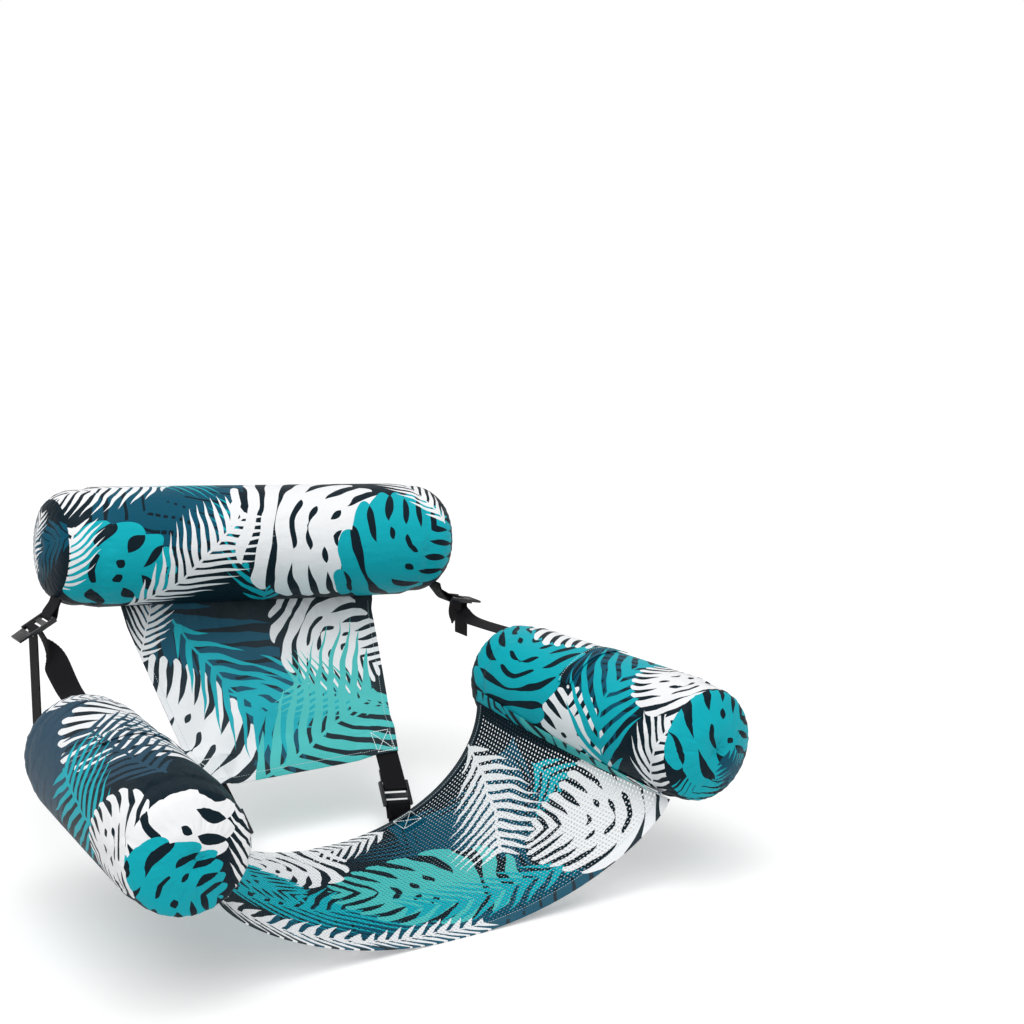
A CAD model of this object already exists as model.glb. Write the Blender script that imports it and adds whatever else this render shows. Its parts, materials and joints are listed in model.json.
import json
import math

import bpy
from mathutils import Matrix, Vector

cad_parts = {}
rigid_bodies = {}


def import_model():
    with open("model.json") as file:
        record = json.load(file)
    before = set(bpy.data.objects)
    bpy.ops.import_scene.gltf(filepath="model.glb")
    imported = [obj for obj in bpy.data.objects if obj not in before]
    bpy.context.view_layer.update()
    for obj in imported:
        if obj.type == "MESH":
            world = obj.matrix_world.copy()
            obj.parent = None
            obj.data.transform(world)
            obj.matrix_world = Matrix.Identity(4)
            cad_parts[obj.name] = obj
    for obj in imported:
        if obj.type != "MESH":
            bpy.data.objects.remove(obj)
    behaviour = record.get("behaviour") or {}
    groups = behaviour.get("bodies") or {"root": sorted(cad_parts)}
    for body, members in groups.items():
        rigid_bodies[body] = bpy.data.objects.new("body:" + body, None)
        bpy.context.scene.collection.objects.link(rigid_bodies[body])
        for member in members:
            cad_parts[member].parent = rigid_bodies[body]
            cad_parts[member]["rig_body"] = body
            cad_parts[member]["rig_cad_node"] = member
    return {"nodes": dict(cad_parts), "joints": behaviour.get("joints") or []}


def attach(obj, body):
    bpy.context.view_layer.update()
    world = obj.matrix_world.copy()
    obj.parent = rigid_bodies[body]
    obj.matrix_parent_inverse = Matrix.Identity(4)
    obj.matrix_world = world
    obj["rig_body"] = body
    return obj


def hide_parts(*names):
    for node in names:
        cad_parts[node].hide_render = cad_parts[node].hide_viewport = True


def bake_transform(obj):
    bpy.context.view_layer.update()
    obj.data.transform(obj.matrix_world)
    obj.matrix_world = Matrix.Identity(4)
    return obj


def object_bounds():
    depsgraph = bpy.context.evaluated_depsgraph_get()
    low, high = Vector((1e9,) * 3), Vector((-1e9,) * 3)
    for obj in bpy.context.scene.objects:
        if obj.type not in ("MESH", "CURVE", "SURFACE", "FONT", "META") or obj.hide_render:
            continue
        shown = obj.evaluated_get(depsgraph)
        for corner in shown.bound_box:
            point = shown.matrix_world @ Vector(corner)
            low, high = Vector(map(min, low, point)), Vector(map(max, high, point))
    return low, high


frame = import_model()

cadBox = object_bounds()
bpy.ops.object.select_all(action="DESELECT")
nodes = frame["nodes"]
joints = {joint["name"]: joint for joint in frame["joints"]}
xAxis, yAxis, zAxis = Vector((1, 0, 0)), Vector((0, 1, 0)), Vector((0, 0, 1))
reclineAt = Vector((0, 0.207, -0.168))  # the recline axis as seen from the source's own zero
home = Vector(joints["back_recline"]["pos_m"]) - reclineAt
bothSides = ((-1, "left"), (1, "right"))


# Shader helpers

class Value:  # a socket that adds up like a number
    def __init__(self, look, socket):
        self.look, self.socket = look, socket

    def do(self, operation, *others):
        return self.look.sum(operation, self, *others)

    def __add__(self, other):
        return self.do("ADD", other)

    def __sub__(self, other):
        return self.do("SUBTRACT", other)

    def __mul__(self, other):
        return self.do("MULTIPLY", other)

    def __truediv__(self, other):
        return self.do("DIVIDE", other)

    def __rsub__(self, other):
        return self.look.sum("SUBTRACT", other, self)

    def __gt__(self, other):
        return self.do("GREATER_THAN", other)

    def __lt__(self, other):
        return self.do("LESS_THAN", other)

    __radd__, __rmul__ = __add__, __mul__


class Look:  # one material and its nodes
    def __init__(self, name):
        self.material = bpy.data.materials.new(name)
        self.material.use_nodes = True
        self.tree = self.material.node_tree
        self.shader = self.tree.nodes["Principled BSDF"]

    def feed(self, socket, value):
        if isinstance(value, Value):
            value = value.socket
        if isinstance(value, bpy.types.NodeSocket):
            self.tree.links.new(value, socket)
        else:
            socket.default_value = value

    def node(self, kind, settings=None, sockets=None):
        made = self.tree.nodes.new("ShaderNode" + kind)
        for key, value in (settings or {}).items():
            setattr(made, key, value)
        for key, value in (sockets or {}).items():
            self.feed(made.inputs[key], value)
        return made

    def sum(self, operation, *values):
        return Value(self, self.node("Math", {"operation": operation}, dict(enumerate(values))).outputs[0])

    def tint(self, factor, below, above):
        made = self.node("Mix", {"data_type": "RGBA"}, {0: factor, 6: below, 7: above})
        return made.outputs[2]

    def noise(self, place, scale, detail=2.0):
        made = self.node("TexNoise", {}, {"Vector": place, "Scale": scale, "Detail": detail})
        return Value(self, made.outputs["Fac"])

    def parts(self, place):
        made = self.node("SeparateXYZ", {}, {0: place})
        return Value(self, made.outputs[0]), Value(self, made.outputs[1])

    def flatPlace(self):  # where a point lies on the flat sheet, in metres
        return self.node("UVMap", {"uv_map": "UVMap"}).outputs[0]

    def place(self):
        return self.node("TexCoord").outputs["Object"]

    def finish(self, sockets, height=None, bump=0.3, depth=0.001):
        for key, value in sockets.items():
            self.feed(self.shader.inputs[key], value)
        if height is not None:
            made = self.node("Bump", {}, {"Strength": bump, "Distance": depth, "Height": height})
            self.feed(self.shader.inputs["Normal"], made.outputs[0])
        return self.material


def ink(code):  # a colour as a printer names it
    shades = [int(code[i:i + 2], 16) / 255 for i in (0, 2, 4)]
    return (*[s / 12.92 if s <= 0.04045 else ((s + 0.055) / 1.055) ** 2.4 for s in shades], 1.0)


# The leaf print

inks = {"ground": ink("0b1e28"), "white": ink("f9fafc"), "teal": ink("0cb2c0"), "deep": ink("07526a"),
        "slate": ink("2a4b60"), "aqua": ink("4fc9c6"), "dark": ink("0c2934")}
drift = {"scale": 16.0, "reach": 0.018}  # how the leaves stray from their formulas
frondShape = {"bend": 0.1, "sweep": 0.8, "curl": 0.7, "wide": 0.36, "count": 11, "full": 0.34, "rib": 0.009,
              "thinnest": 0.002, "tip": 0.998}
splitShape = {"centre": 0.47, "squeeze": 1.9, "narrow": 4.6, "count": 11, "fan": 1.2, "fanFrom": 0.25,
              "curl": 0.35, "scallop": 0.5, "open": 0.23, "slotAt": 0.78, "slotStep": 0.07,
              "slotShort": 3.0, "dots": 0.20, "dotAt": 0.20, "dotStep": 0.11, "dotShort": 11.0}


def frond(x, y, leaf):  # a feathered leaf: thin leaflets on both sides of a rib
    leaf = {**frondShape, **leaf}
    side = (y - x * x * leaf["bend"]).do("ABSOLUTE")
    start = x - side * leaf["sweep"] - side * side * leaf["curl"]
    centred = start * 2 - 1
    reach = (1 - centred * centred).do("MAXIMUM", leaf["thinnest"]) * leaf["wide"] ** 2
    across = ((start * leaf["count"]).do("FRACT") - 0.5).do("ABSOLUTE")
    leaflets = ((1 - side * side / reach) * leaf["full"] > across) * (centred * centred < leaf["tip"])
    rib = (side < leaf["rib"]) * (x * (1 - x) > 0)
    return leaflets.do("MAXIMUM", rib), None


def split(x, y, leaf):  # a broad leaf with open slots and rows of holes
    leaf = {**splitShape, **leaf}
    side = y.do("ABSOLUTE")
    vein = x - side * (x * leaf["fan"] - leaf["fanFrom"]) - side * side * leaf["curl"]
    far = (x - leaf["centre"]) * leaf["squeeze"]
    out = (far * far + side * side * leaf["narrow"]).do("SQRT")
    place = vein * leaf["count"]
    off = (place.do("FRACT") - 0.5).do("ABSOLUTE")
    odd = (place * 0.5).do("FRACT") > 0.5
    outline = (0.5 - off) * (0.5 - off) * leaf["scallop"] + out < 1.0
    reach = (out - leaf["slotAt"] - odd * leaf["slotStep"]) * leaf["slotShort"]
    slot = (1 - reach * reach) * leaf["open"] > off
    hole = (out - leaf["dotAt"] - odd * leaf["dotStep"]) * leaf["dotShort"]
    dots = (1 - hole * hole) * leaf["dots"] > off
    return outline * (1 - slot.do("MAXIMUM", dots)), outline


def printedColour(look, place, leaves):
    wander = look.node("TexNoise", {}, {"Vector": place, "Scale": drift["scale"], "Detail": 1.0})
    moved = look.node("VectorMath", {"operation": "MULTIPLY_ADD"},
                      {0: wander.outputs["Color"], 1: (drift["reach"], drift["reach"], 0.0), 2: place})
    colour = inks["ground"]
    for leaf in leaves:
        local = look.node("Mapping", {"vector_type": "TEXTURE"}, {
            "Vector": moved.outputs[0], "Location": (*leaf["at"], 0.0),
            "Rotation": (0.0, 0.0, math.radians(leaf["turn"])), "Scale": (leaf["size"],) * 3})
        x, y = look.parts(local.outputs[0])
        shape, backing = leaf["kind"](x, y, leaf)
        if backing:  # its holes show the ground, not the leaves below
            colour = look.tint(backing, colour, inks["ground"])
        colour = look.tint(shape, colour, inks[leaf["ink"]])
    return colour


def leaf(kind, inkName, at, turn, size, **more):
    return {"kind": kind, "ink": inkName, "at": at, "turn": turn, "size": size, **more}


closed = {"slotAt": 0.64, "slotShort": 4.6}  # the slots stop short of the leaf's edge

prints = {
    "head": [
        leaf(frond, "deep", (-0.30, 0.02), -32, 0.31, wide=0.50, count=8, full=0.42),
        leaf(frond, "deep", (-0.20, -0.20), 60, 0.22),
        leaf(split, "teal", (-0.345, 0.052), 2, 0.19, count=5, narrow=5.5, **closed),
        leaf(frond, "teal", (0.02, 0.15), -104, 0.19, wide=0.50, count=9),
        leaf(split, "white", (-0.045, -0.05), 20, 0.29, count=11),
        leaf(frond, "white", (-0.21, 0.15), -52, 0.25, wide=0.28, count=14),
        leaf(frond, "white", (-0.335, 0.13), -88, 0.15, wide=0.34, count=9),
        leaf(frond, "white", (-0.13, -0.115), 172, 0.22, wide=0.32, count=13),
        leaf(split, "teal", (0.14, 0.10), -34, 0.23, count=8, **closed),
        leaf(frond, "white", (0.32, -0.01), -118, 0.15, wide=0.34, count=9),
        leaf(split, "white", (-0.16, 0.27), 150, 0.24), leaf(frond, "teal", (0.00, 0.22), 10, 0.26),
        leaf(split, "white", (0.06, -0.25), -10, 0.24), leaf(frond, "teal", (-0.30, -0.26), 20, 0.26),
        leaf(frond, "white", (0.3, 0.24), 160, 0.2)],
    "armLeft": [
        leaf(frond, "slate", (0.02, 0.075), 184, 0.34, wide=0.54, full=0.49, sweep=0.3),
        leaf(split, "white", (0.11, -0.080), 178, 0.28, count=10),
        leaf(frond, "slate", (0.19, -0.03), 168, 0.25, wide=0.40, count=12, full=0.34),
        leaf(frond, "teal", (0.22, 0.10), 184, 0.25, wide=0.34, count=11, full=0.30),
        leaf(split, "white", (0.27, 0.05), 150, 0.16),
        leaf(frond, "white", (-0.21, 0.02), -84, 0.15, wide=0.34, count=11),
        leaf(split, "teal", (0.05, 0.27), 190, 0.2, **closed), leaf(frond, "deep", (0.2, -0.2), 160, 0.3),
        leaf(split, "white", (-0.2, -0.25), 20, 0.2), leaf(frond, "white", (0.22, 0.2), 170, 0.2)],
    "armRight": [
        leaf(frond, "deep", (-0.05, -0.12), 30, 0.24),
        leaf(split, "white", (0.07, 0.155), -108, 0.17, count=7),
        leaf(split, "teal", (-0.10, 0.085), -98, 0.25, **closed),
        leaf(frond, "teal", (0.11, 0.14), -95, 0.27, wide=0.42, count=9, full=0.34),
        leaf(frond, "white", (0.195, 0.14), -74, 0.19, wide=0.30, count=10),
        leaf(split, "white", (0.27, -0.05), -158, 0.16), leaf(split, "white", (-0.2, -0.2), 20, 0.22),
        leaf(frond, "teal", (0.2, -0.2), 170, 0.25), leaf(split, "teal", (0.1, 0.27), 20, 0.2, **closed),
        leaf(frond, "white", (-0.22, 0.24), 10, 0.24)],
    "capFrontLeft": [
        leaf(split, "white", (-0.12, 0.030), 24, 0.21, count=7, open=0.30, **closed),
        leaf(frond, "white", (0.085, -0.075), 76, 0.13, wide=0.36, count=8),
        leaf(split, "teal", (-0.095, 0.00), -22, 0.16, count=7, open=0.26, **closed)],
    "capFrontRight": [
        leaf(frond, "teal", (-0.09, -0.09), 28, 0.15, full=0.44),
        leaf(split, "teal", (-0.075, 0.02), 12, 0.19, count=7, **closed),
        leaf(frond, "deep", (0.10, -0.09), 128, 0.11, full=0.49, sweep=0.3)],
    "capRear": [
        leaf(frond, "deep", (-0.09, 0.02), -10, 0.19),
        leaf(split, "teal", (0.08, 0.06), 210, 0.18, count=5, **closed),
        leaf(frond, "white", (0.02, -0.09), 80, 0.15)],
    "capHead": [
        leaf(frond, "deep", (-0.09, 0.06), -30, 0.19, full=0.44),
        leaf(frond, "white", (0.07, -0.085), 96, 0.16, wide=0.30)],
    "panel": [
        leaf(frond, "deep", (-0.18, 0.31), -50, 0.30, wide=0.50, count=8, full=0.42),
        leaf(frond, "teal", (0.20, 0.17), 190, 0.25, wide=0.36, count=9),
        leaf(split, "white", (0.055, 0.285), -40, 0.20), leaf(split, "white", (-0.12, -0.03), 112, 0.26),
        leaf(frond, "teal", (-0.13, 0.27), -60, 0.24, wide=0.34, full=0.26, count=9),
        leaf(frond, "white", (-0.205, 0.20), 62, 0.14, wide=0.3),
        leaf(frond, "aqua", (-0.075, 0.00), 21, 0.28, wide=0.46, count=9),
        leaf(frond, "aqua", (0.19, 0.09), 150, 0.16, wide=0.4)],
    "seat": [
        leaf(frond, "deep", (-0.27, 0.38), -14, 0.34, wide=0.44, full=0.42),
        leaf(frond, "deep", (0.27, 0.38), 172, 0.32, wide=0.44, full=0.42),
        leaf(frond, "deep", (0.12, 0.02), 60, 0.26, wide=0.5, full=0.44),
        leaf(frond, "deep", (0.36, 0.10), 160, 0.26, wide=0.5, full=0.44),
        leaf(frond, "teal", (-0.30, 0.28), -6, 0.34, wide=0.30, count=13),
        leaf(frond, "teal", (0.34, 0.16), 100, 0.22, wide=0.40),
        leaf(split, "aqua", (0.17, 0.30), -156, 0.27, count=9),
        leaf(frond, "teal", (0.25, 0.36), 190, 0.26, wide=0.26),
        leaf(split, "white", (0.00, 0.05), 168, 0.22),
        leaf(frond, "white", (0.112, 0.025), 172, 0.13, wide=0.40, count=8),
        leaf(frond, "white", (0.31, 0.01), 112, 0.27, wide=0.30, count=12),
        leaf(split, "white", (0.39, 0.43), -128, 0.24),
        leaf(frond, "white", (-0.38, 0.385), -6, 0.26, wide=0.24),
        leaf(split, "teal", (-0.28, 0.10), 40, 0.2, **closed),
        leaf(frond, "white", (-0.14, 0.39), -4, 0.2, wide=0.22)],
}


# Materials

clothFeel = {"shadeScale": 7.0, "creaseDetail": 3.0, "weaveScale": 1500.0, "weaveShare": 0.15,
             "roughen": 0.12}
cloths = {
    "roll": {"shade": 0.10, "haze": inks["dark"], "rough": 0.38, "gloss": 0.10, "crease": (26.0, 60.0, 1.0),
             "bump": 0.50, "depth": 0.004},
    "cap": {"shade": 0.10, "haze": inks["dark"], "rough": 0.38, "gloss": 0.10, "crease": (30.0, 30.0, 1.0),
            "bump": 0.40, "depth": 0.004},
    "panel": {"shade": 0.07, "haze": ink("cfe0e6"), "rough": 0.50, "gloss": 0.10,
              "crease": (24.0, 34.0, 1.0), "bump": 0.7, "depth": 0.005},
    "net": {"shade": 0.10, "haze": inks["dark"], "rough": 0.5, "gloss": 0.06, "crease": (400.0, 400.0, 1.0),
            "bump": 0.3, "depth": 0.001},
}
webWeave = {"rib": 0.0019, "pick": 0.0026}


def printedCloth(name, leaves, cloth):
    look = Look(name)
    place = look.flatPlace()
    colour = printedColour(look, place, leaves)
    shade = look.noise(place, clothFeel["shadeScale"]) * cloth["shade"]
    colour = look.tint(shade, colour, cloth["haze"])
    stretched = look.node("Mapping", {}, {"Vector": place, "Scale": cloth["crease"]}).outputs[0]
    crease = look.noise(stretched, 1.0, clothFeel["creaseDetail"])
    weave = look.noise(place, clothFeel["weaveScale"], 1.0)
    return look.finish({"Base Color": colour, "Roughness": cloth["rough"] + crease * clothFeel["roughen"],
                        "Specular IOR Level": cloth["gloss"]},
                       crease + weave * clothFeel["weaveShare"], cloth["bump"], cloth["depth"])


def webbingLook(name):
    look = Look(name)
    across, along = look.parts(look.flatPlace())
    ribs = (across * (math.pi / webWeave["rib"])).do("SINE").do("ABSOLUTE")
    shift = (across * (1 / webWeave["rib"])).do("FLOOR") * 0.5
    picks = ((along * (1 / webWeave["pick"]) + shift) * math.pi).do("SINE").do("ABSOLUTE")
    height = ribs * 0.5 + picks * 0.5
    colour = look.tint(height, ink("070608"), ink("1d1c20"))
    return look.finish({"Base Color": colour, "Roughness": 0.62 + height * 0.1, "Specular IOR Level": 0.12},
                       height, 0.8, 0.0004)


def plasticLook(name):
    look = Look(name)
    place = look.place()
    grain, cloud = look.noise(place, 900.0), look.noise(place, 40.0)
    colour = look.tint(cloud, ink("0b0b0e"), ink("1c1b21"))
    return look.finish({"Base Color": colour, "Roughness": 0.20 + cloud * 0.12, "Specular IOR Level": 0.6},
                       grain, 0.08, 0.0004)


def plainLook(name, low, high, scale, rough, roughen=0.0, bump=0.2, depth=0.002):
    look = Look(name)
    cloud = look.noise(look.place(), scale)
    return look.finish({"Base Color": look.tint(cloud, ink(low), ink(high)),
                        "Roughness": rough + cloud * roughen if roughen else rough}, cloud, bump, depth)


printedLooks = {"head": ("headPrint", "roll"), "armLeft": ("leftArmPrint", "roll"),
                "armRight": ("rightArmPrint", "roll"), "capFrontLeft": ("leftEndPrint", "cap"),
                "capFrontRight": ("rightEndPrint", "cap"), "capRear": ("rearEndPrint", "cap"),
                "capHead": ("headEndPrint", "cap"), "panel": ("panelPrint", "panel"),
                "seat": ("netPrint", "net")}
looks = {key: printedCloth(name, prints[key], cloths[cloth]) for key, (name, cloth) in printedLooks.items()}
looks["hem"] = printedCloth("hemPrint", prints["seat"], cloths["panel"])
looks["webbing"] = webbingLook("blackWebbing")
looks["plastic"] = plasticLook("blackPlastic")
looks["film"] = plainLook("bladderFilm", "9fb0b3", "c3d0d2", 30.0, 0.25, 0.15)
looks["valve"] = plainLook("valvePlastic", "b5bcbe", "c3d0d2", 30.0, 0.25, 0.15)
looks["thread"] = plainLook("paleThread", "e6f4f4", "ffffff", 2500.0, 0.6, bump=0.4, depth=0.0002)
looks["hemThread"] = plainLook("hemThread", "5f97a0", "ffffff", 2500.0, 0.6, bump=0.4, depth=0.0002)
print("looks made")


# Modelling helpers

def current():
    return bpy.context.view_layer.objects.active


def activate(piece):  # the one selected piece
    bpy.ops.object.select_all(action="DESELECT")
    piece.select_set(True)
    bpy.context.view_layer.objects.active = piece


def edit(*steps):  # run mesh operators on everything in the active piece
    bpy.ops.object.mode_set(mode="EDIT")
    bpy.ops.mesh.select_all(action="SELECT")
    for step, settings in steps:
        step(**settings)
    bpy.ops.object.mode_set(mode="OBJECT")


def deleteSelectedFaces():
    bpy.ops.object.mode_set(mode="EDIT")
    bpy.ops.mesh.select_mode(type="FACE")
    bpy.ops.mesh.delete(type="FACE")
    bpy.ops.object.mode_set(mode="OBJECT")


def modify(piece, kind, **settings):
    change = piece.modifiers.new(kind.lower(), kind)
    for key, value in settings.items():
        setattr(change, key, value)
    bpy.context.view_layer.objects.active = piece
    bpy.ops.object.modifier_apply(modifier=change.name)


def thicken(piece, thickness):
    modify(piece, "SOLIDIFY", thickness=thickness, offset=0.0)


def soften(piece, width, segments=2, **settings):  # round the edges
    modify(piece, "BEVEL", width=width, segments=segments, limit_method="ANGLE", **settings)


def flatSheet(name, width, length, columns, rows):
    bpy.ops.mesh.primitive_grid_add(x_subdivisions=columns, y_subdivisions=rows, size=1.0)
    piece = current()
    piece.name = piece.data.name = name
    piece.data.transform(Matrix.Diagonal((width, length, 1.0, 1.0)))
    return piece


def lay(piece, place, uv=lambda x, y: (x, y)):  # keep the flat place as the UV map, then bend the sheet
    mesh = piece.data
    flat = [v.co.copy() for v in mesh.vertices]
    layer = mesh.uv_layers.get("UVMap") or mesh.uv_layers.new(name="UVMap")
    for loop in mesh.loops:
        spot = flat[loop.vertex_index]
        layer.data[loop.index].uv = uv(spot.x, spot.y)
    for vertex, spot in zip(mesh.vertices, flat):
        vertex.co = place(spot.x, spot.y)
    mesh.update()
    return piece


def smooth(piece, angle=40.0):
    activate(piece)
    bpy.ops.object.shade_smooth_by_angle(angle=math.radians(angle))
    piece.select_set(False)
    return piece


def wear(piece, look, slot, replaced=(), body=None, blend=None):  # material, slot, CAD nodes and body
    piece.data.materials.clear()
    piece.data.materials.append(look)
    if replaced:
        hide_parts(*replaced)
    if blend:
        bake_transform(piece)
    else:
        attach(piece, body)
    return piece


def middle(name):
    mesh = nodes[name].data
    total = Vector()
    for vertex in mesh.vertices:
        total += vertex.co
    return total / len(mesh.vertices)


def alongFrame(origin, along, up):  # X along, Z near up
    x = along.normalized()
    z = (up - x * up.dot(x)).normalized()
    return Matrix.Translation(origin) @ Matrix((x, z.cross(x), z)).transposed().to_4x4()


def mix(a, b, t):
    return a * (1 - t) + b * t


def ease(t):
    t = min(1.0, max(0.0, t))
    return t * t * (3 - 2 * t)


def runLengths(points):  # how far along the line each point lies
    lengths = [0.0]
    for a, b in zip(points, points[1:]):
        lengths.append(lengths[-1] + (b - a).length)
    return lengths


# Rows of stitches

stitch = {"every": 0.0040, "length": 0.0031, "thick": 0.00038, "sunk": 0.0004, "rise": 0.6, "box": 0.0155,
          "boxSteps": 10, "crossBold": 1.9, "probe": 0.02}


def onto(pieces, spot, aim):  # the nearest face of the pieces met from in front, with its direction
    aim = aim.normalized()
    for piece in pieces:
        hit, place, normal, _ = piece.ray_cast(spot - aim * stitch["probe"], aim)
        if hit:
            return place, normal
    return spot, -aim


def boxedCross(spot, half, low, high):  # a square of stitches with both diagonals
    corners = [(-half, low), (half, low), (half, high), (-half, high)]
    lines = [*zip(corners, corners[1:] + corners[:1]), (corners[0], corners[2]), (corners[1], corners[3])]
    shares = [i / stitch["boxSteps"] for i in range(stitch["boxSteps"] + 1)]
    return [[spot(mix(a[0], b[0], share), mix(a[1], b[1], share)) for share in shares] for a, b in lines]


def stitched(name, rows, look, slot, body=None, blend=None, bold=1.0):
    made = bpy.data.curves.new(name, "CURVE")
    made.dimensions, made.use_fill_caps = "3D", True
    made.bevel_depth, made.bevel_resolution = stitch["thick"] * bold, 0
    lifts = (-stitch["sunk"], stitch["thick"] * stitch["rise"], -stitch["sunk"])
    for row in rows:
        lengths = runLengths([spot for spot, _ in row])
        for k in range(int((lengths[-1] - stitch["length"]) / stitch["every"]) + 1):
            spline = made.splines.new("POLY")
            spline.points.add(2)
            for point, share, lift in zip(spline.points, (0.0, 0.5, 1.0), lifts):
                want = k * stitch["every"] + share * stitch["length"]
                i = max(n for n in range(len(row) - 1) if lengths[n] <= want)
                t = (want - lengths[i]) / max(1e-9, lengths[i + 1] - lengths[i])
                point.co = (*(mix(row[i][0], row[i + 1][0], t) + row[i][1] * lift), 1.0)
    thing = bpy.data.objects.new(name, made)
    bpy.context.collection.objects.link(thing)
    activate(thing)
    bpy.ops.object.convert(target="MESH")
    return wear(current(), look, slot, body=body, blend=blend)


# Inflated rolls

armRoll = {"radius": 0.090, "length": 0.470, "seam": 0.96, "shoulder": 0.022, "bulge": 0.022,
           "slit": -0.007, "ends": ("rear", "front"), "steps": (84, 192)}
rolls = {
    "head": {"radius": 0.0925, "length": 0.658, "seam": 0.85, "shoulder": 0.034, "bulge": 0.015,
             "slit": 0.0, "ends": ("left", "right"), "steps": (104, 192), "face": 165.0, "lean": 20.0,
             "caps": ("capHead", "capHead"), "look": "head"},
    "arm_left": {**armRoll, "face": 120.0, "lean": 75.0, "caps": ("capRear", "capFrontLeft"),
                 "look": "armLeft"},
    "arm_right": {**armRoll, "face": 155.0, "lean": 105.0, "caps": ("capRear", "capFrontRight"),
                  "look": "armRight"},
}
slitCut = {"width": 0.003, "arc": 70.0, "flapArc": 80.0, "flapWidth": 0.030, "sewnEdge": 0.012,
           "lift": 0.0014, "cloth": 0.0008, "wave": 0.0004, "rowIn": 0.003, "rowSteps": 40}
pucker = {"deep": 0.0016, "reach": 0.022, "counts": (23, 37, 53), "skin": 0.0008, "capRings": 18,
          "share": 0.6, "swellShare": 0.7, "sink": 0.4, "startShare": 0.55, "spanShare": 0.45,
          "packing": 1.3, "weld": 0.00005}
air = {"frames": 12, "pressure": 6.0, "mass": 0.3, "stiffness": 30.0, "bending": 0.02, "damping": 5.0,
       "grow": -0.10, "gather": 0.10, "sewn": 0.002, "seamFrom": 0.012, "seamFade": 0.009, "cap": 0.0045,
       "margin": 0.0003, "quality": 4}
bladderFit = {"alongShare": 0.97, "acrossShare": 0.965, "under": 0.003, "endUnder": 0.007, "endReach": 0.04,
              "weld": 0.00001}


def rollFrame(name):
    low, high = (middle(f"{name}_{end}_cap") for end in rolls[name]["ends"])
    return alongFrame((low + high) / 2, high - low, zAxis)


def pieceName(name, ending):  # arm_left and Cover make armLeftCover
    first, *others = name.split("_")
    return first + "".join(word.title() for word in others) + ending


def rollRadius(roll, along):  # the plain profile, drawn in at the shoulders
    inward = max(0.0, abs(along) - roll["length"] / 2 + roll["shoulder"]) / roll["shoulder"]
    return roll["radius"] * (1 - (1 - roll["seam"]) * min(1.0, inward) ** 2)


def ripple(angle, phase):
    first, second, third = pucker["counts"]
    return (math.sin(first * angle + phase) + 0.7 * math.sin(second * angle + 2.1 * phase)
            + 0.5 * math.sin(third * angle - phase)) / 2.2


def onRoll(roll, along, angle, out=0.0):
    radius = rollRadius(roll, along) + out
    return Vector((along, radius * math.cos(angle), radius * math.sin(angle)))


def packed(x, half):  # even steps drawn closer towards both ends
    return half * math.sin(x / half * pucker["packing"]) / math.sin(pucker["packing"])


def skin(name):  # cover sleeve and both end discs as one closed skin
    roll = rolls[name]
    half = roll["length"] / 2
    phase = len(name) + roll["face"]
    face = math.radians(roll["face"])
    columns, rows = roll["steps"]
    around = math.tau * roll["radius"]

    def sleeve(x, y):
        x = packed(x, half)
        angle = face + y / around * math.tau
        near = math.exp(-(half - abs(x)) / pucker["reach"])
        fold = ripple(angle, phase + math.copysign(2.0, x)) - pucker["sink"]
        return onRoll(roll, x, angle, pucker["deep"] * near * fold * pucker["share"] - pucker["skin"])

    pieces = [lay(flatSheet(pieceName(name, "Sleeve"), roll["length"], around, columns, rows), sleeve,
                  lambda x, y: (packed(x, half), y))]
    for sign in (-1, 1):
        def disc(x, y):
            share = x / roll["radius"] + 0.5
            angle = face + y / around * math.tau
            rim = rollRadius(roll, half) - pucker["skin"]
            near = ease((share - pucker["startShare"]) / pucker["spanShare"])
            fold = ripple(angle, phase + 2.0 * sign) - pucker["sink"]
            out = roll["bulge"] * math.sqrt(max(0.0, 1.0 - share * share))
            radius = share * (rim + pucker["deep"] * pucker["share"] * fold * near)
            swell = pucker["deep"] * pucker["swellShare"] * math.sin(share * math.pi) * near
            swell *= ripple(angle, phase + 5.0 * sign)
            return Vector((sign * (half + out + swell), radius * math.cos(angle), radius * math.sin(angle)))

        def flatDisc(x, y):
            radius = (x / roll["radius"] + 0.5) * roll["radius"]
            angle = face + y / around * math.tau
            return radius * math.cos(angle), radius * math.sin(angle)

        cap = flatSheet(pieceName(name, f"Disc{sign}"), roll["radius"], around, pucker["capRings"], rows)
        pieces.append(lay(cap, disc, flatDisc))
    blanks = [bpy.data.materials.new(pieceName(name, f"Blank{i}")) for i in range(3)]
    for number, piece in enumerate(pieces):
        for blank in blanks:
            piece.data.materials.append(blank)
        for polygon in piece.data.polygons:
            polygon.material_index = number
        piece.select_set(True)
    bpy.context.view_layer.objects.active = pieces[0]
    bpy.ops.object.join()
    edit((bpy.ops.mesh.remove_doubles, {"threshold": pucker["weld"]}),
         (bpy.ops.mesh.normals_make_consistent, {"inside": False}))
    return current()


def settle(piece, cloth, frames, cap, gravity=0.0):  # a cloth simulation's result, kept within a cap
    before = [v.co.copy() for v in piece.data.vertices]
    cloth.settings.quality = air["quality"]
    cloth.settings.effector_weights.gravity = gravity
    cloth.collision_settings.use_collision = False
    cloth.point_cache.frame_start, cloth.point_cache.frame_end = 1, frames
    for step in range(1, frames + 1):
        bpy.context.scene.frame_set(step)
    bpy.context.view_layer.objects.active = piece
    bpy.ops.object.modifier_apply(modifier=cloth.name)
    bpy.context.scene.frame_set(1)
    for vertex, old in zip(piece.data.vertices, before):
        move = vertex.co - old
        if move.length > cap:
            vertex.co = old + move.normalized() * cap


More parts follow.
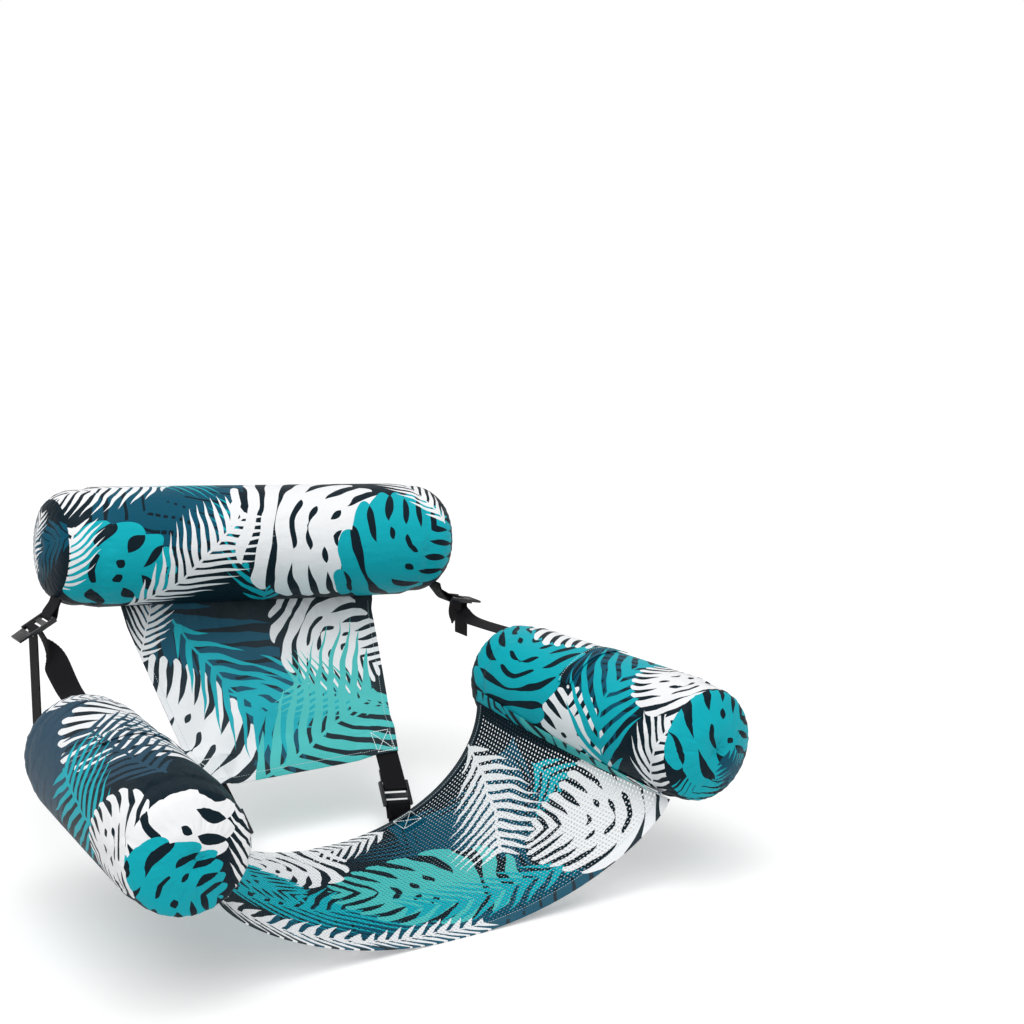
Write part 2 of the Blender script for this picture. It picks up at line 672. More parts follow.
def keepBelow(piece, limit):  # draw in what lies further from the roll's axis than the limit there
    for vertex in piece.data.vertices:
        x, y, z = vertex.co
        spread = math.hypot(y, z)
        if spread > limit(x):
            vertex.co = (x, y * limit(x) / spread, z * limit(x) / spread)


def inflate(whole, roll):  # air pressure in a skin gathered by its two seams
    half, seam = roll["length"] / 2, roll["radius"] * roll["seam"]
    group = whole.vertex_groups.new(name="gather")
    for vertex in whole.data.vertices:
        x, y, z = vertex.co
        away = math.hypot(abs(x) - half, math.hypot(y, z) - seam)
        faded = 0.5 - 0.5 * math.exp(-((away - air["seamFrom"]) / air["seamFade"]) ** 2)
        group.add([vertex.index], 1.0 if away < air["sewn"] else faded, "REPLACE")
    cloth = whole.modifiers.new("air", "CLOTH")
    rule = cloth.settings
    rule.mass = air["mass"]
    rule.tension_stiffness = rule.compression_stiffness = rule.shear_stiffness = air["stiffness"]
    rule.bending_stiffness = air["bending"]
    rule.air_damping = air["damping"]
    rule.use_pressure, rule.uniform_pressure_force = True, air["pressure"]
    rule.vertex_group_shrink = "gather"
    rule.shrink_min, rule.shrink_max = air["grow"], air["gather"]
    settle(whole, cloth, air["frames"], air["cap"])
    keepBelow(whole, lambda x: rollRadius(roll, x) - air["margin"] if abs(x) < half else math.inf)


def parted(whole):  # the low disc, the sleeve and the high disc again
    activate(whole)
    edit((bpy.ops.mesh.separate, {"type": "MATERIAL"}))
    made = list(bpy.context.selected_objects)
    bpy.ops.object.select_all(action="DESELECT")
    return sorted(made, key=lambda piece: sum(v.co.x for v in piece.data.vertices)
                  / len(piece.data.vertices))


def cutSlit(sleeve, roll):  # the access slit below the flap
    half = slitCut["width"] / 2
    for along in (roll["slit"] - half, roll["slit"] + half):
        bpy.context.view_layer.objects.active = sleeve
        edit((bpy.ops.mesh.bisect, {"plane_co": (along, 0, 0), "plane_no": xAxis}))
    lean = math.radians(roll["lean"])
    middleOut = Vector((0, math.cos(lean), math.sin(lean)))
    for polygon in sleeve.data.polygons:
        spot = polygon.center
        inBand = abs(spot.x - roll["slit"]) < half
        side = Vector((0, spot.y, spot.z)).normalized().dot(middleOut)
        polygon.select = inBand and side > math.cos(math.radians(slitCut["arc"] / 2))
    deleteSelectedFaces()


def makeFlap(name, roll, matrix):
    arc = math.radians(slitCut["flapArc"])
    length = arc * roll["radius"]
    lean, face = math.radians(roll["lean"]), math.radians(roll["face"])
    start = roll["slit"] - slitCut["sewnEdge"]
    turned = (lean - face + math.pi) % math.tau - math.pi
    flap = flatSheet(pieceName(name, "AccessFlap"), slitCut["flapWidth"], length, 12, 60)

    def place(x, y):
        along = start + slitCut["flapWidth"] / 2 + x
        wave = slitCut["wave"] * math.sin(y * 90.0 + x * 40.0) * ease(x / slitCut["flapWidth"] + 0.5)
        return matrix @ onRoll(roll, along, lean + y / roll["radius"], slitCut["lift"] + wave)

    lay(flap, place, lambda x, y: (start + slitCut["flapWidth"] / 2 + x, y + turned * roll["radius"]))
    thicken(flap, slitCut["cloth"])
    smooth(flap)
    hinge = matrix @ onRoll(roll, start, lean)
    free = matrix @ onRoll(roll, start + slitCut["flapWidth"], lean)
    wear(flap, looks[roll["look"]], "access_flap", [f"{name}_access_flap"],
         blend=(name, f"{name}_flap", mix(hinge, free, 0.12), mix(hinge, free, 0.5)))
    pieceName(name, "Cover")
    row = []
    for i in range(slitCut["rowSteps"] + 1):
        angle = lean + arc * (i / slitCut["rowSteps"] - 0.5)
        spot = onRoll(roll, start + slitCut["rowIn"], angle, slitCut["lift"] + slitCut["cloth"] / 2)
        row.append((matrix @ spot, matrix.to_3x3() @ Vector((0, math.cos(angle), math.sin(angle)))))
    stitched(pieceName(name, "FlapRow"), [row], looks["thread"], "access_flap", body=name)


def makeBladder(name, roll, matrix):
    bladder = nodes[f"{name}_bladder"].copy()
    bladder.data = bladder.data.copy()
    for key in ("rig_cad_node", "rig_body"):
        del bladder[key]
    bladder.parent = None
    bladder.name = bladder.data.name = pieceName(name, "AirBladder")
    bpy.context.collection.objects.link(bladder)
    bladder.hide_render = bladder.hide_viewport = False
    along, across = bladderFit["alongShare"], bladderFit["acrossShare"]
    bladder.data.transform(Matrix.Diagonal((along, across, across, 1.0)) @ matrix.inverted())

    def limit(x):  # well below the gathers at both seams
        fromSeam = max(0.0, roll["length"] / 2 - abs(x))
        under = bladderFit["endUnder"] * math.exp(-fromSeam / bladderFit["endReach"])
        return rollRadius(roll, x) - bladderFit["under"] - under

    keepBelow(bladder, limit)
    bladder.data.transform(matrix)
    bpy.context.view_layer.objects.active = bladder
    edit((bpy.ops.mesh.remove_doubles, {"threshold": bladderFit["weld"]}))
    smooth(bladder)
    wear(bladder, looks["film"], "bladder_film", [f"{name}_bladder"], body=name)
    for part in ("valve_stem", "valve_plug"):
        nodes[f"{name}_{part}"].data.materials.clear()
        nodes[f"{name}_{part}"].data.materials.append(looks["valve"])


def makeRoll(name):
    roll = rolls[name]
    matrix = rollFrame(name)
    whole = skin(name)
    inflate(whole, roll)
    low, cover, high = parted(whole)
    cutSlit(cover, roll)
    caps = [(piece, f"{end.title()}Cap", f"{end}_cap", look)
            for piece, end, look in zip((low, high), roll["ends"], roll["caps"])]
    for piece, title, part, look in [(cover, "Cover", "cover", roll["look"]), *caps]:
        piece.name = piece.data.name = pieceName(name, title)
        piece.data.transform(matrix)
        smooth(piece, 60.0)
        wear(piece, looks[look], "printed_cover" if part == "cover" else "end_disc", [f"{name}_{part}"],
             body=name)
    makeFlap(name, roll, matrix)
    makeBladder(name, roll, matrix)
    print(name, "made")
    return matrix


rollPlaces = {name: makeRoll(name) for name in rolls}


# Seat net, its hems and the strips on the arms

seat = {"rearY": 0.200 + home.y, "length": 0.410, "deep": 0.2114, "centreZ": home.z, "lowZ": 0.0009,
        "angles": (15.0, 60.0), "powers": (1.0, 1.5), "steps": 48, "gap": 0.0003,
        "frontHem": 0.022, "rearHem": 0.012, "half": 0.372, "pitch": 0.0064, "strand": 0.0033,
        "net": 0.0012, "hem": 0.0020, "hemEdge": 0.0006, "tuck": 0.004, "still": 0.170, "swung": 0.335}
seatRows = {"in": 0.0025, "above": 0.001, "steps": 100, "to": 98, "cross": 0.137, "low": 0.005,
            "high": 0.040}
sideHem = {"width": 0.020, "up": 0.012, "out": 0.0012, "thick": 0.0010, "printAt": 0.2}
seatLines = {}


def armEdge(depth):  # where the net meets the right arm
    angle = math.radians(mix(*seat["angles"], depth / seat["length"]))
    out = rolls["arm_right"]["radius"] + seat["gap"] + seat["net"] / 2
    place = rollPlaces["arm_right"]
    lateral, along = place.to_3x3() @ yAxis, place.to_3x3() @ xAxis
    offset = lateral * -out * math.cos(angle) - zAxis * out * math.sin(angle)
    run = (seat["rearY"] - depth - place.translation.y - offset.y) / along.y
    return place.translation + offset + along * run, angle, run


def seatLine(depth):  # half a row of the seat, with the length along it
    key = round(depth, 5)
    if key not in seatLines:
        edge, _, _ = armEdge(depth)
        power = mix(*seat["powers"], depth / seat["length"])
        bottom = seat["centreZ"] - seat["deep"]
        line = []
        for i in range(seat["steps"] + 1):
            turn = math.pi / 2 * i / seat["steps"]
            height = edge.z + (bottom - edge.z) * max(0.0, math.cos(turn)) ** power
            line.append(Vector((edge.x * math.sin(turn), edge.y, max(seat["lowZ"], height))))
        seatLines[key] = (line, runLengths(line))
    return seatLines[key]


def seatPoint(share, depth):  # share runs from -1 at the left arm to 1 at the right
    line, lengths = seatLine(depth)
    want = min(abs(share), 1.0) * lengths[-1]
    for i in range(len(line) - 1):
        if want <= lengths[i + 1] or i == len(line) - 2:
            spot = mix(line[i], line[i + 1], (want - lengths[i]) / (lengths[i + 1] - lengths[i]))
            return Vector((math.copysign(spot.x, share), spot.y, spot.z))


def seatTop(x, depth):  # a point on the net at a place, and its sideways slope
    line, _ = seatLine(depth)
    for a, b in zip(line, line[1:]):
        if a.x <= abs(x) <= b.x:
            spot = mix(a, b, (abs(x) - a.x) / (b.x - a.x))
            slope = (b - a).normalized()
            sign = math.copysign(1.0, x)
            return Vector((x, spot.y, spot.z)), Vector((slope.x, slope.y, slope.z * sign))


def seatHalf(title, side, start, end, columns, rows):
    length = end - start
    piece = flatSheet(title, seat["half"], length, columns, rows)

    def place(x, y):
        return seatPoint(side * (x / seat["half"] + 0.5), start + length / 2 + y)

    return piece, place, lambda x, y: (side * (x + seat["half"] / 2), start + length / 2 + y)


def makeNet(side, word, blend):
    start, end = seat["rearHem"] - seat["tuck"], seat["length"] - seat["frontHem"] + seat["tuck"]
    columns, rows = round(seat["half"] / seat["pitch"]), round((end - start) / seat["pitch"])
    net, place, uv = seatHalf(f"seatNet{word.title()}", side, start, end, columns, rows)
    edit((bpy.ops.mesh.inset, {"thickness": seat["strand"] / 2, "use_individual": True}))
    deleteSelectedFaces()
    lay(net, place, uv)
    thicken(net, seat["net"])
    smooth(net, 30.0)
    wear(net, looks["seat"], "seat_mesh", ["seat_net"], blend=blend)
    pieceName(f"arm_{word}", "Cover")
    return net


def makeSeatHem(side, word, blend, end, low, high, rows):
    hem, place, uv = seatHalf(f"seat{end.title()}Hem{word.title()}", side, low, high, 130, rows)
    lay(hem, place, uv)
    thicken(hem, seat["hem"])
    soften(hem, seat["hemEdge"])
    smooth(hem)
    wear(hem, looks["hem"], "hem", [f"seat_{end}_hem"], blend=blend)
    pieceName(f"arm_{word}", "Cover")
    bpy.context.view_layer.update()
    depth = high - seatRows["in"] if end == "rear" else low + seatRows["in"]
    row = [onto((hem,), seatPoint(side * i / seatRows["steps"], depth) + zAxis * seatRows["above"], -zAxis)
           for i in range(1, seatRows["to"])]
    stitched(f"{hem.name}Row", [row], looks["hemThread"], "hem", blend=blend)
    return hem


def makeSideHem(side, word):
    strip = flatSheet(f"arm{word.title()}SideHem", seat["length"], sideHem["width"], 90, 5)
    matrix, roll = rollPlaces[f"arm_{word}"], rolls[f"arm_{word}"]

    def onArm(x, y):
        _, angle, run = armEdge(x + seat["length"] / 2)
        angle = side * (angle - (y + sideHem["up"]) / roll["radius"]) + (math.pi if side > 0 else 0.0)
        return matrix @ onRoll(roll, run, angle, sideHem["out"])

    lay(strip, onArm, lambda x, y: (x, y + sideHem["printAt"]))
    thicken(strip, sideHem["thick"])
    smooth(strip)
    wear(strip, looks["hem"], "hem", [f"arm_{word}_side_hem"], body=f"arm_{word}")
    pieceName(f"arm_{word}", "Cover")


def makeSeat():
    frontStart = seat["length"] - seat["frontHem"]
    for side, word in bothSides:
        across = (Vector((side * seat["still"], 0, 0)), Vector((side * seat["swung"], 0, 0)))
        blend = ("seat", f"arm_{word}", *across)  # still between the locks, swung at the arm
        net = makeNet(side, word, blend)
        makeSeatHem(side, word, blend, "front", frontStart, seat["length"], 8)
        rear = makeSeatHem(side, word, blend, "rear", 0.0, seat["rearHem"], 5)

        def spot(x, depth):
            return onto((rear, net), seatTop(side * seatRows["cross"] + x, depth)[0], -zAxis)

        cross = boxedCross(spot, stitch["box"], seatRows["low"], seatRows["high"])
        stitched(f"seatCross{word.title()}", cross, looks["thread"], "seat_mesh", blend=blend,
                 bold=stitch["crossBold"])
        makeSideHem(side, word)
    print("seat made")


# Back panel

panel = {"lowHalf": 0.168, "topHalf": 0.219, "lowY": 0.260 + home.y, "lowZ": home.z - 0.102,
         "seamAngle": -98.0, "out": 0.0009, "billow": 0.008, "hem": 0.011, "hemEdge": 0.0005,
         "thick": 0.0010, "hemThick": 0.0022, "tuck": 0.0045, "columns": 132, "rows": 88}
folds = {"deep": 0.0026, "low": 0.15, "corner": 1.25, "counts": (15, 11), "gathers": 46, "gatherFade": 14,
         "gatherShare": 0.5}
hang = {"mass": 0.15, "stiffness": 20.0, "bending": 0.03, "slack": -0.025, "frames": 22, "cap": 0.009,
        "topShare": 0.985, "outShare": 0.74, "lowShare": 0.17}
panelRows = {"sideIn": 0.009, "sideSteps": 60, "lowUp": 0.0085, "lowSteps": 45, "lowShare": 0.96,
             "low": 0.004, "high": 0.040}
seamOut, seamTurn = rolls["head"]["radius"] + panel["out"], math.radians(panel["seamAngle"])
panelSeam = rollPlaces["head"] @ Vector((0, seamOut * math.cos(seamTurn), seamOut * math.sin(seamTurn)))
panelFoot = Vector((0, panel["lowY"], panel["lowZ"]))
panelTall = (panelSeam - panelFoot).length
panelRear = (panelSeam - panelFoot).normalized().cross(-xAxis)
panelRear = panelRear if panelRear.y > 0 else -panelRear


def panelHalf(up):
    return mix(panel["lowHalf"], panel["topHalf"], up)


def panelPoint(across, up, fine=0.0):
    low = panelFoot + xAxis * across * panel["lowHalf"]
    high = panelSeam + rollPlaces["head"].to_3x3() @ xAxis * across * panel["topHalf"]
    swell = panel["billow"] * (1 - across ** 2) * math.sin(math.pi * up) ** 2
    return mix(low, high, up) + panelRear * (swell + fine)


def panelCloth(across, up):  # soft folds fan out from the lower corners and the seam
    height, (first, second) = up + folds["low"], folds["counts"]
    corner = (math.atan2(height, across + folds["corner"]) * first
              + math.atan2(height, folds["corner"] - across) * second)
    fade = math.sin(math.pi * min(1.0, max(0.0, up))) ** 0.5 * (1 - across ** 4)
    gather = math.sin(across * folds["gathers"]) * math.exp(-(1 - up) * folds["gatherFade"])
    return panelPoint(across, up, folds["deep"] * (fade * math.sin(corner) + gather * folds["gatherShare"]))


def drape(cloth, spots):  # slack cloth settles between its seam and its lower corners
    group = cloth.vertex_groups.new(name="held")
    for vertex, (across, up) in zip(cloth.data.vertices, spots):
        if up > hang["topShare"] or (abs(across) > hang["outShare"] and up < hang["lowShare"]):
            group.add([vertex.index], 1.0, "REPLACE")
    change = cloth.modifiers.new("drape", "CLOTH")
    rule = change.settings
    rule.mass = hang["mass"]
    rule.tension_stiffness = rule.compression_stiffness = rule.shear_stiffness = hang["stiffness"]
    rule.bending_stiffness = hang["bending"]
    rule.vertex_group_mass = "held"
    rule.shrink_min = rule.shrink_max = hang["slack"]
    settle(cloth, change, hang["frames"], hang["cap"], gravity=1.0)


def makePanelRows(cloth, hem, tall):
    rows = []
    for side in (-1, 1):
        def spot(x, up):
            across = (side * strapEnds["backHalf"] + x) / panelHalf(up / tall)
            return onto((hem, cloth), panelCloth(across, up / tall), panelRear)
        rows += boxedCross(spot, stitch["box"], panelRows["low"], panelRows["high"])
    stitched("panelCrosses", rows, looks["thread"], "back_panel", body="back", bold=stitch["crossBold"])
    steps, half = panelRows["sideSteps"], panelRows["lowSteps"]
    shares = [i / steps for i in range(1, steps)]
    rows = [[onto((hem,), panelCloth(side * (1 - panelRows["sideIn"] / panelHalf(up)), up), panelRear)
             for up in shares] for side in (-1, 1)]
    rows.append([onto((hem,), panelCloth(i / half * panelRows["lowShare"], panelRows["lowUp"] / tall),
                      panelRear) for i in range(-half, half + 1)])
    stitched("panelHemRows", rows, looks["hemThread"], "back_panel", body="back")


def makePanel():
    wide, tall = 2 * panel["topHalf"], panelTall
    cloth = flatSheet("backPanelCloth", wide, tall, panel["columns"], panel["rows"])
    reach = 1 + panel["tuck"] / tall  # its top edge runs on under the roll's seam
    spots = [(2 * v.co.x / wide, v.co.y / tall + 0.5) for v in cloth.data.vertices]
    edges = [(abs(f.center.x) > wide / 2 - panel["hem"] * 1.1, f.center.y < panel["hem"] - tall / 2)
             for f in cloth.data.polygons]

    def place(x, y):
        return panelCloth(2 * x / wide, (y / tall + 0.5) * reach)

    def uv(x, y):
        up = (y / tall + 0.5) * reach
        return 2 * x / wide * panelHalf(up), up * panelTall

    lay(cloth, place, uv)
    drape(cloth, spots)
    activate(cloth)
    bpy.ops.object.duplicate()
    hem = current()  # the folded border, twice as thick
    hem.name = hem.data.name = "backPanelHem"
    for polygon, edge in zip(hem.data.polygons, edges):
        polygon.select = not any(edge)
    deleteSelectedFaces()
    for piece, thick in ((cloth, panel["thick"]), (hem, panel["hemThick"])):
        thicken(piece, thick)
        if piece is hem:
            soften(piece, panel["hemEdge"])
        smooth(piece)
        wear(piece, looks["panel"], "back_panel", ["back_panel"], body="back")
    bpy.context.view_layer.update()
    makePanelRows(cloth, hem, tall)
    print("panel made")


# Webbing and locks

lock = {"endBar": 0.006, "endSlot": 0.006, "middleBar": 0.008, "innerSlot": 0.0065, "toothBar": 0.007,
        "outerSlot": 0.007, "tab": 0.021, "plate": 0.0035, "half": 0.020, "taper": 0.86, "edge": 0.0006,
        "rail": 0.0045, "railHigh": 0.007, "railOver": 0.0004, "cutter": 0.01}
ridge = {"count": 4, "from": 0.0035, "every": 0.0032, "width": 0.0014, "high": 0.0006, "reachShare": 0.86}
tooth = {"count": 9, "from": 0.0034, "every": 0.0040, "width": 0.0018, "in": 0.0008, "under": 0.00025,
         "high": 0.0004}
web = {"width": 0.038, "thick": 0.0016, "gap": 0.0003, "bend": 0.0006, "edge": 0.0004, "corner": 0.0022}
toothNear = lock["endBar"] / 2 + lock["endSlot"] + lock["middleBar"] + lock["innerSlot"]
toothFar = toothNear + lock["toothBar"]
webOff = lock["plate"] / 2 + web["gap"] + web["thick"] / 2
loadOut = webOff + web["thick"] + 2 * web["gap"]


def lockFrame(level, word):
    up = zAxis if level == "upper" else panelRear
    pin = Vector(joints[f"{level}_lock_{word}_tilt"]["pos_m"])
    return alongFrame(pin, middle(f"{level}_ladder_lock_{word}") - pin, up)


def block(low, high, name="block"):  # a cube between two corners
    centre = [(a + b) / 2 for a, b in zip(low, high)]
    bpy.ops.mesh.primitive_cube_add(size=1.0, location=centre, scale=[b - a for a, b in zip(low, high)])
    bpy.ops.object.transform_apply(location=True, rotation=True, scale=True)
    piece = current()
    piece.name = name
    return piece


def combine(piece, low, high, operation="UNION"):
    tool = block(low, high)
    modify(piece, "BOOLEAN", object=tool, operation=operation, solver="EXACT")
    bpy.data.objects.remove(tool)


def ladderLock():  # modelled once along X, its end bar at the origin
    start = -lock["endBar"] / 2
    end = toothFar + lock["outerSlot"] + lock["tab"]
    wide, face = lock["half"] + lock["rail"] / 2, lock["plate"] / 2
    piece = block((start, -wide, -face), (end, wide, face), "ladderLock")
    for vertex in piece.data.vertices:
        if vertex.co.x > 0:
            vertex.co.y *= lock["taper"]
    place = lock["endBar"] / 2
    for slot, bar in ((lock["endSlot"], lock["middleBar"]), (lock["innerSlot"], lock["toothBar"]),
                      (lock["outerSlot"], 0.0)):
        combine(piece, (place, -lock["half"], -lock["cutter"]),
                (place + slot, lock["half"], lock["cutter"]), "DIFFERENCE")
        place += slot + bar
    for side in (-1, 1):
        near, far = sorted((side * lock["half"], side * (lock["half"] + lock["rail"])))
        combine(piece, (start - lock["railOver"], near, -lock["railHigh"] / 2),
                (place + lock["railOver"], far, lock["railHigh"] / 2))
    for i in range(ridge["count"]):  # grip ridges near the tab's end
        at, reach = end - ridge["from"] - i * ridge["every"], wide * lock["taper"] * ridge["reachShare"]
        combine(piece, (at, -reach, -face - ridge["high"]),
                (at + ridge["width"], reach, face + ridge["high"]))
    for i in range(tooth["count"]):  # teeth that bite the webbing
        at = -lock["half"] + tooth["from"] + i * tooth["every"]
        combine(piece, (toothNear + tooth["in"], at, -face - tooth["under"]),
                (toothFar - tooth["in"], at + tooth["width"], -face + tooth["high"]))
    soften(piece, lock["edge"], segments=3, angle_limit=math.radians(35))
    return smooth(piece, 35.0)


def placeLock(pattern, matrix, level, word):
    piece = pattern.copy()
    piece.data = pattern.data.copy()
    piece.name = piece.data.name = f"{level}Lock{word.title()}"
    bpy.context.collection.objects.link(piece)
    piece.data.transform(matrix)
    wear(piece, looks["plastic"], "lock_plastic", [f"{level}_ladder_lock_{word}"],
         body=f"{level}_lock_{word}")


def rounded(path, sides, steps=4):  # the same path with its corners turned softly
    points, turned = [path[0]], [sides[0]]
    for i in range(1, len(path) - 1):
        back, ahead = path[i - 1] - path[i], path[i + 1] - path[i]
        a = path[i] + back.normalized() * min(web["corner"], back.length * 0.4)
        b = path[i] + ahead.normalized() * min(web["corner"], ahead.length * 0.4)
        for k in range(steps + 1):
            t = k / steps
            points.append(a * (1 - t) ** 2 + path[i] * 2 * t * (1 - t) + b * t ** 2)
            turned.append(sides[i])
    return points + [path[-1]], turned + [sides[-1]]


def webbing(name, path, sides, replaced, blend):
    path, sides = rounded(path, sides)
    lengths = runLengths(path)
    rows = len(path) - 1
    strap = flatSheet(name, web["width"], 1.0, 8, rows)

    def place(x, y):
        i = round((y + 0.5) * rows)
        along = (path[min(rows, i + 1)] - path[max(0, i - 1)]).normalized()
        side = (sides[i] - along * sides[i].dot(along)).normalized()
        return path[i] + side * x

    lay(strap, place, lambda x, y: (x, lengths[round((y + 0.5) * rows)]))
    thicken(strap, web["thick"])
    soften(strap, web["edge"], angle_limit=math.radians(50))
    smooth(strap, 50.0)
    return wear(strap, looks["webbing"], "webbing", replaced, blend=blend)


def overBar(matrix, before, after):  # up through the inner slot, over the toothed bar, down the outer
    near, far = toothNear - web["gap"] - web["thick"] / 2, toothFar + web["gap"] + web["thick"] / 2
    flat = before(near) + [(near, webOff - web["bend"]), (near + web["bend"], webOff),
                           (far - web["bend"], webOff), (far, webOff - web["bend"])] + after(far)
    return [matrix @ Vector((along, 0, out)) for along, out in flat]


def bezier(start, startPull, endPull, end, steps):
    made = []
    for i in range(steps + 1):
        t = i / steps
        made.append(start * (1 - t) ** 3 + (start + startPull) * 3 * t * (1 - t) ** 2
                    + (end + endPull) * 3 * t * t * (1 - t) + end * t ** 3)
    return made


def loopRound(centre, width, start, end, steps=10):
    away = (centre - (start + end) / 2).normalized()
    side = away.cross(width).normalized()
    radius = math.hypot(lock["endBar"] / 2, lock["plate"] / 2) + web["gap"] + web["thick"] / 2
    turns = [math.pi * (i / steps - 0.5) for i in range(steps + 1)]
    ring = [centre + away * radius * math.cos(turn) + side * radius * math.sin(turn) for turn in turns]
    lead = away * lock["endBar"]
    return [start, ring[0] - lead] + ring + [ring[-1] - lead, end]


strapEnds = {"backHalf": 0.148, "panelLap": 0.045, "seatLap": 0.046, "tuck": 0.020, "drop": 0.016,
             "loopAngle": 20.0, "sewnIn": 0.004, "sewnUp": 0.011, "tail": {"left": 0.150, "right": 0.055},
             "pulls": {"left": (0.060, 0.038), "right": (0.034, 0.014)}, "steps": 28, "parting": 23}


def panelBack(across, up, out):  # a point behind the panel, and its sideways direction
    spot = panelPoint(across, up)
    sideways = (panelPoint(across + 0.1, up) - panelPoint(across - 0.1, up)).normalized()
    normal = sideways.cross((panelPoint(across, up + 0.1) - spot).normalized()).normalized()
    return spot + (normal if normal.y > 0 else -normal) * out, sideways


def intoLock(along):
    return [(along + web["bend"], -loadOut), (along, web["bend"] - loadOut)]


def outOfLock(along):
    return [(along, web["bend"] - webOff), (along + web["bend"], -webOff),
            (along + strapEnds["tuck"], -webOff)]


def straightDown(along):
    return [(along, -webOff - web["bend"])]


def makeLowerStraps(pattern):
    for side, word in bothSides:
        matrix = lockFrame("lower", word)
        placeLock(pattern, matrix, "lower", word)
        width = matrix.to_3x3() @ yAxis
        across = side * strapEnds["backHalf"] / panel["lowHalf"]
        behind = panel["hemThick"] / 2 + web["gap"] + web["thick"] / 2
        lap = strapEnds["panelLap"] / panelTall
        spots = [panelBack(across, up, behind) for up in (lap, lap / 2, 0.0)]
        wrap = overBar(matrix, intoLock, outOfLock)
        path = [p for p, _ in spots] + wrap
        sides = [s for _, s in spots] + [width] * len(wrap)
        webbing(f"backStrap{word.title()}", path, sides, [f"back_strap_{word}"],
                (f"lower_lock_{word}", "back", wrap[1], mix(wrap[1], spots[2][0], 0.8)))
        bar = matrix.translation
        first, slope = seatTop(bar.x, strapEnds["seatLap"])
        last, rearSlope = seatTop(bar.x, 0.0)
        under = -zAxis * (seat["hem"] / 2 + web["thick"] / 2 + 2 * web["gap"])
        corner = last + yAxis * (web["thick"] + web["gap"]) + under
        rear = corner + yAxis * (2 * web["thick"] + web["gap"])
        loop = loopRound(bar, width, corner, rear)
        path = [first + under, mix(first, last, 0.5) + under] + loop
        sides = [slope, slope, rearSlope] + [width] * (len(loop) - 2) + [rearSlope]
        webbing(f"seatAnchorStrap{word.title()}", path, sides, [f"seat_anchor_strap_{word}"],
                ("seat", "back", mix(corner, bar, 0.25), mix(corner, bar, 0.8)))


def makeHeadLoop(side, word, bar):
    half, seam = rolls["head"]["length"] / 2, rolls["head"]["radius"] * rolls["head"]["seam"]
    root = rollPlaces["head"] @ Vector((side * (half + web["thick"]),
                                        -seam * math.sin(math.radians(strapEnds["loopAngle"])),
                                        -(seam + web["gap"] + web["thick"])))
    apart = (bar - root).cross(yAxis).normalized() * (web["thick"] + web["gap"]) / 2
    sewnIn = Vector((-side * strapEnds["sewnIn"], 0, strapEnds["sewnUp"]))
    hidden = rollPlaces["head"].to_3x3() @ sewnIn  # its sewn ends run on into the seam
    loop = loopRound(bar, yAxis, root - apart, root + apart)
    loop = [root - apart + hidden] + loop + [root + apart + hidden]
    webbing(f"headLoop{word.title()}", loop, [yAxis] * len(loop), [f"head_loop_{word}"],
            ("head", "back", root, bar))


def makeUpperStraps(pattern):
    for side, word in bothSides:
        matrix = lockFrame("upper", word)
        placeLock(pattern, matrix, "upper", word)
        makeHeadLoop(side, word, matrix.translation)
        wrap = overBar(matrix, straightDown, straightDown)
        down = (matrix.to_3x3() @ -zAxis).normalized()
        anchor = Vector(joints[f"arm_{word}_swing"]["pos_m"])
        place = rollPlaces[f"arm_{word}"].to_3x3()
        pull, steps, parting = strapEnds["pulls"][word], strapEnds["steps"], strapEnds["parting"]
        run = bezier(anchor, place @ -xAxis * pull[0], down * pull[1], wrap[0] + down * strapEnds["drop"],
                     steps)
        across, upper = place @ yAxis * -side, yAxis * side
        sides = [mix(across, upper, ease(i / steps)) for i in range(steps + 1)]
        webbing(f"sideStrap{word.title()}", run[:parting + 1], sides[:parting + 1], [f"side_strap_{word}"],
                ("seat", "back", anchor, run[20]))
        below = wrap[-1] + down * web["thick"] * 2
        path = run[parting:] + wrap + [below, below - zAxis * strapEnds["tail"][word]]
        webbing(f"sideStrapEnd{word.title()}", path, sides[parting:] + [upper] * (len(wrap) + 2),
                [f"side_strap_{word}"],
                (f"upper_lock_{word}", "back", wrap[0] + down * 0.004, wrap[0] + down * 0.03))
    print("straps made")


makeSeat()
makePanel()
pattern = ladderLock()
makeLowerStraps(pattern)
makeUpperStraps(pattern)
bpy.data.objects.remove(pattern)


# Floor, light and camera

stage = {"floor": 60.0, "below": 0.0005, "glow": 0.30, "sky": (0.62, 1.0)}
lamps = {"sun": 1.1, "sunSpread": 50, "sunAim": (1.0, 1.1, -2.6), "fill": 9.0, "fillSize": 1.0,
         "fillPlace": (-0.4, -0.6, 2.4), "fillTarget": (0, 0, 0.2)}
view = {"place": (-1.3007, -2.3807, 0.8736), "aim": (0.5277, 0.8276, -0.1913), "lens": 69.43}


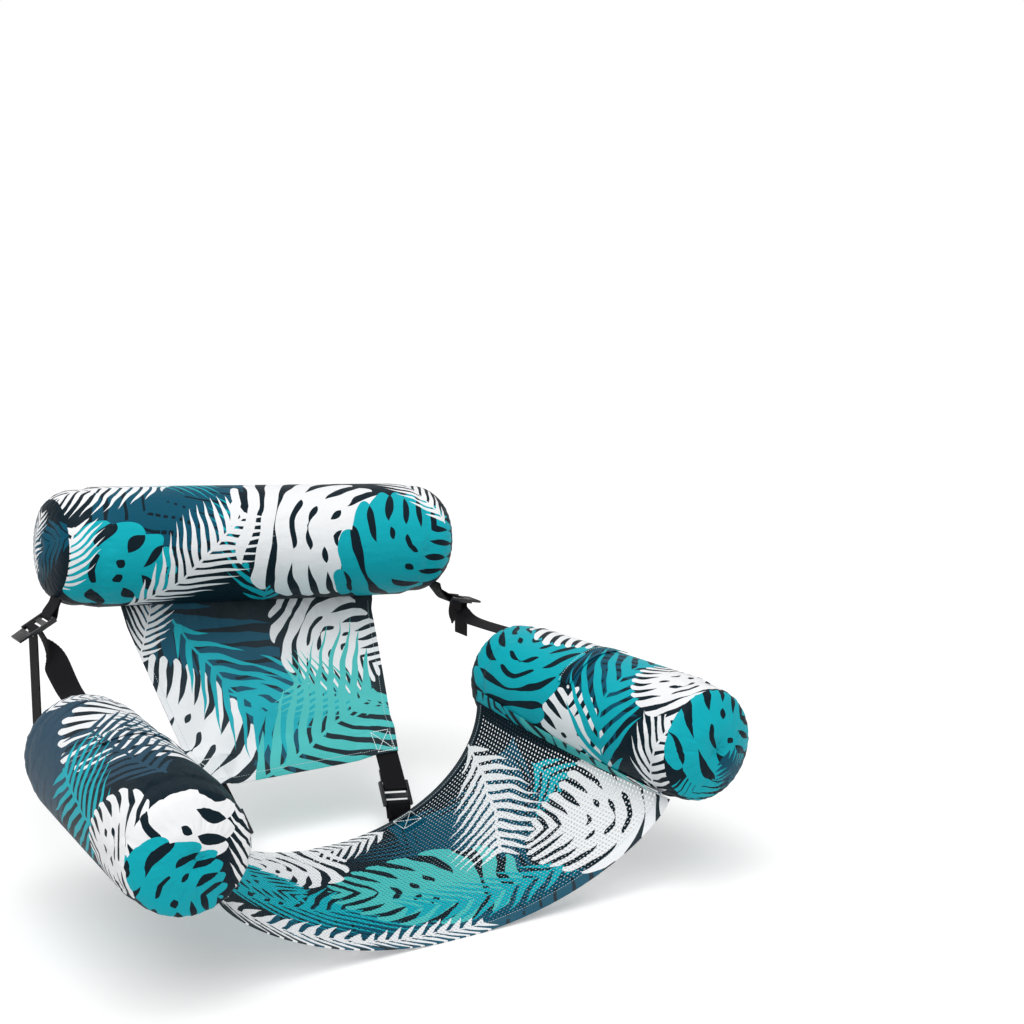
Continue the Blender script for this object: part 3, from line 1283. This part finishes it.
def aimed(thing, name, direction):
    thing.name = name
    thing.rotation_euler = Vector(direction).to_track_quat("-Z", "Y").to_euler()
    return thing


def makeFloor():
    bpy.ops.mesh.primitive_plane_add(size=stage["floor"], location=(0, 0, cadBox[0].z - stage["below"]))
    floor = current()
    floor.name = "floor"
    look = Look("paleFloor")
    seen = Value(look, look.node("LightPath").outputs["Is Camera Ray"])
    colour = look.tint(look.noise(look.place(), 3.0), (0.80, 0.80, 0.80, 1), (0.82, 0.82, 0.82, 1))
    look.finish({"Base Color": colour, "Roughness": 0.9, "Emission Color": (1, 1, 1, 1),
                 "Emission Strength": seen * stage["glow"]})
    floor.data.materials.append(look.material)


def makeSky():
    world = bpy.data.worlds.new("studio")
    bpy.context.scene.world = world
    world.use_nodes = True
    sky = world.node_tree.nodes["Background"]
    sky.inputs["Color"].default_value = (1, 1, 1, 1)
    path = world.node_tree.nodes.new("ShaderNodeLightPath")
    lift = world.node_tree.nodes.new("ShaderNodeMapRange")
    lift.inputs["To Min"].default_value, lift.inputs["To Max"].default_value = stage["sky"]
    world.node_tree.links.new(path.outputs["Is Camera Ray"], lift.inputs["Value"])
    world.node_tree.links.new(lift.outputs[0], sky.inputs["Strength"])


def makeLamps():
    bpy.ops.object.light_add(type="SUN", location=(-1.4, -1.6, 2.6))
    sun = aimed(current(), "keyLamp", lamps["sunAim"])
    sun.data.energy, sun.data.angle = lamps["sun"], math.radians(lamps["sunSpread"])
    bpy.ops.object.light_add(type="AREA", location=lamps["fillPlace"])
    fill = aimed(current(), "fillLamp", Vector(lamps["fillTarget"]) - Vector(lamps["fillPlace"]))
    fill.data.size, fill.data.energy = lamps["fillSize"], lamps["fill"]


def makeCamera():
    bpy.ops.object.camera_add(location=home + Vector(view["place"]))
    camera = aimed(current(), "Camera", view["aim"])
    camera.data.lens = view["lens"]
    bpy.context.scene.camera = camera
    bpy.context.scene.view_settings.view_transform = "Standard"


makeFloor()
makeSky()
makeLamps()
makeCamera()
bpy.ops.object.select_all(action="DESELECT")
